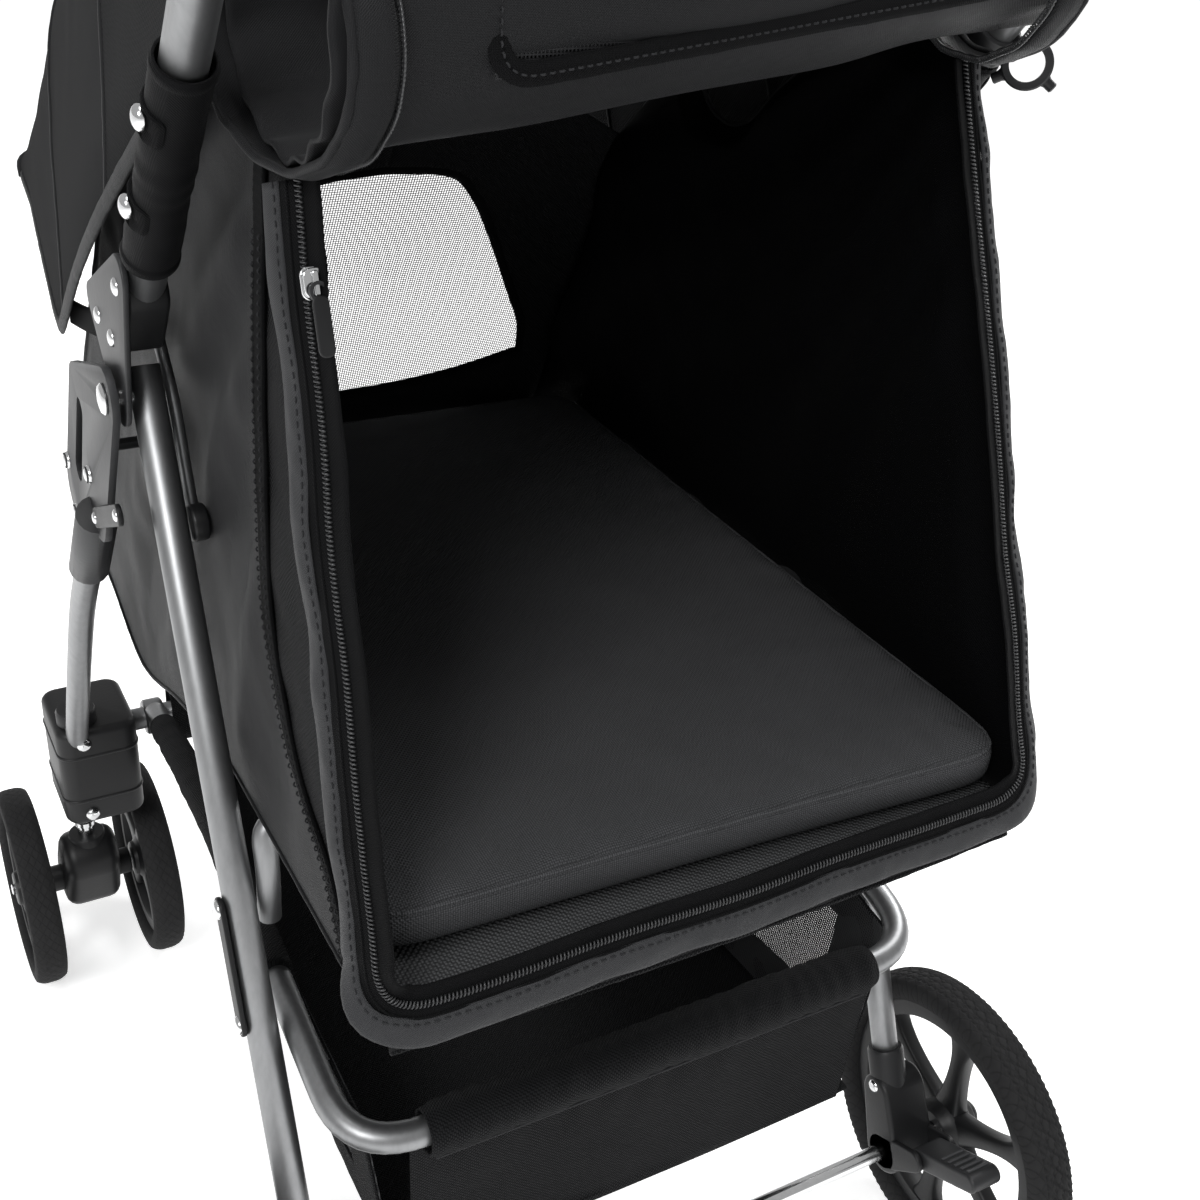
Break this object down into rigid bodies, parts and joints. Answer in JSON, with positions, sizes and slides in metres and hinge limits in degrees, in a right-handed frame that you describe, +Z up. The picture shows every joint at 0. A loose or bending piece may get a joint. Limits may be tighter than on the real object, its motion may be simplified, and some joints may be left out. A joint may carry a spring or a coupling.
{
  "type": "pet stroller",
  "caption": "Folding pet stroller: silver tube frame, black zipped fabric cabin with a rolled-up rear door, padded floor, net-sided basket, swivelling front castors and a foam-gripped handle.",
  "frame": {"origin": "on the floor under the centre of the bounding box", "axes": "+X to the right, +Y forward (the castor end), +Z up"},
  "size_m": [0.52, 0.7198, 0.984],
  "materials": {
    "silver_tube": "satin silver coating",
    "steel": "bright plated",
    "black_plastic": "fine moulded grain",
    "grey_plastic": "fine moulded grain",
    "oxford_fabric": "near-black plain weave",
    "net_fabric": "fine open net",
    "tyre": "matte moulded foam rubber",
    "foam": "soft closed-cell foam"
  },
  "bodies": {
    "chassis": {"front_leg_r": "silver_tube", "front_leg_l": "silver_tube", "front_bracket_r": "grey_plastic", "front_bracket_l": "grey_plastic", "hinge_pin_r": "steel", "hinge_pin_l": "steel", "leg_link_r": "black_plastic", "leg_link_l": "black_plastic", "castor_housing_r": "black_plastic", "castor_housing_l": "black_plastic", "cabin_side_r": "oxford_fabric", "cabin_side_l": "oxford_fabric", "hood_side_r": "oxford_fabric", "hood_side_l": "oxford_fabric", "front_cross_tube": "silver_tube", "front_cross_band": "oxford_fabric", "cabin_front": "oxford_fabric", "floor_board": "oxford_fabric", "cushion": "oxford_fabric", "zip_tape": "oxford_fabric", "hood_top": "oxford_fabric", "rear_door_flap": "oxford_fabric"},
    "zip_runner": {"zip_slider": "steel"},
    "rear_frame": {"rear_leg_r": "silver_tube", "rear_leg_l": "silver_tube", "wheel_bracket_r": "black_plastic", "wheel_bracket_l": "black_plastic", "leg_strip_r": "black_plastic", "leg_strip_l": "black_plastic", "rear_axle": "steel", "support_tube": "silver_tube"},
    "handle": {"handle_tube": "silver_tube", "handle_grip": "foam", "fold_clip": "grey_plastic", "joint_block_r": "black_plastic", "joint_block_l": "black_plastic", "hinge_plate_r": "grey_plastic", "hinge_plate_l": "grey_plastic", "tube_sleeve_r": "oxford_fabric", "tube_sleeve_l": "oxford_fabric"},
    "basket": {"basket_ring": "silver_tube", "basket_bag": "oxford_fabric", "basket_side_r": "net_fabric", "basket_side_l": "net_fabric"},
    "lock_lever_r_body": {"lock_lever_r": "silver_tube"},
    "brake_pedal_r_body": {"brake_pedal_r": "black_plastic"},
    "rear_wheel_r": {"rear_tyre_r": "tyre", "rear_rim_r": "black_plastic"},
    "castor_r": {"castor_yoke_r": "black_plastic", "castor_stem_r": "steel"},
    "castor_wheel_outer_r_body": {"castor_wheel_outer_r": "tyre"},
    "castor_wheel_inner_r_body": {"castor_wheel_inner_r": "tyre"},
    "lock_lever_l_body": {"lock_lever_l": "silver_tube"},
    "brake_pedal_l_body": {"brake_pedal_l": "black_plastic"},
    "rear_wheel_l": {"rear_tyre_l": "tyre", "rear_rim_l": "black_plastic"},
    "castor_l": {"castor_yoke_l": "black_plastic", "castor_stem_l": "steel"},
    "castor_wheel_outer_l_body": {"castor_wheel_outer_l": "tyre"},
    "castor_wheel_inner_l_body": {"castor_wheel_inner_l": "tyre"}
  },
  "joints": [
    {"name": "handle_fold", "type": "hinge", "parent": "chassis", "child": "handle", "pos_m": [0, -0.01, 0.584], "axis": [-1, 0, 0], "range_deg": [0, 130]},
    {"name": "rear_leg_fold", "type": "hinge", "parent": "chassis", "child": "rear_frame", "pos_m": [0, -0.01, 0.584], "axis": [1, 0, 0], "range_deg": [0, 30]},
    {"name": "basket_lift", "type": "hinge", "parent": "chassis", "child": "basket", "pos_m": [0, 0.272, 0.212], "axis": [-1, 0, 0], "range_deg": [0, 6]},
    {"name": "zip_run", "type": "slide", "parent": "chassis", "child": "zip_runner", "axis": [-0.0468, -0.3367, -0.9405], "range_m": [0, 0.2]},
    {"name": "lock_lever_r_turn", "type": "hinge", "parent": "rear_frame", "child": "lock_lever_r_body", "pos_m": [0.175, -0.03469, 0.526], "axis": [-1, 0, 0], "range_deg": [0, 8], "stiffness_Nm_per_rad": 0.2},
    {"name": "brake_r_press", "type": "hinge", "parent": "rear_frame", "child": "brake_pedal_r_body", "pos_m": [0.1915, -0.242, 0.118], "axis": [1, 0, 0], "range_deg": [0, 18]},
    {"name": "rear_wheel_r_spin", "type": "hinge", "parent": "rear_frame", "child": "rear_wheel_r", "pos_m": [0.23, -0.216, 0.1], "axis": [1, 0, 0], "continuous": true},
    {"name": "castor_r_swivel", "type": "hinge", "parent": "chassis", "child": "castor_r", "pos_m": [0.203, 0.272, 0.11], "axis": [0, 0, 1], "continuous": true},
    {"name": "castor_outer_r_spin", "type": "hinge", "parent": "castor_r", "child": "castor_wheel_outer_r_body", "pos_m": [0.2465, 0.285, 0.075], "axis": [1, 0, 0], "continuous": true},
    {"name": "castor_inner_r_spin", "type": "hinge", "parent": "castor_r", "child": "castor_wheel_inner_r_body", "pos_m": [0.1595, 0.285, 0.075], "axis": [1, 0, 0], "continuous": true},
    {"name": "lock_lever_l_turn", "type": "hinge", "parent": "rear_frame", "child": "lock_lever_l_body", "pos_m": [-0.175, -0.03469, 0.526], "axis": [-1, 0, 0], "range_deg": [0, 8], "stiffness_Nm_per_rad": 0.2},
    {"name": "brake_l_press", "type": "hinge", "parent": "rear_frame", "child": "brake_pedal_l_body", "pos_m": [-0.1915, -0.242, 0.118], "axis": [1, 0, 0], "range_deg": [0, 18]},
    {"name": "rear_wheel_l_spin", "type": "hinge", "parent": "rear_frame", "child": "rear_wheel_l", "pos_m": [-0.23, -0.216, 0.1], "axis": [1, 0, 0], "continuous": true},
    {"name": "castor_l_swivel", "type": "hinge", "parent": "chassis", "child": "castor_l", "pos_m": [-0.203, 0.272, 0.11], "axis": [0, 0, 1], "continuous": true},
    {"name": "castor_outer_l_spin", "type": "hinge", "parent": "castor_l", "child": "castor_wheel_outer_l_body", "pos_m": [-0.2465, 0.285, 0.075], "axis": [1, 0, 0], "continuous": true},
    {"name": "castor_inner_l_spin", "type": "hinge", "parent": "castor_l", "child": "castor_wheel_inner_l_body", "pos_m": [-0.1595, 0.285, 0.075], "axis": [1, 0, 0], "continuous": true}
  ],
  "couplings": [
    {"joint": "rear_leg_fold", "follows": "handle_fold", "ratio": 0.2307},
    {"joint": "basket_lift", "follows": "handle_fold", "ratio": 0.0461}
  ]
}
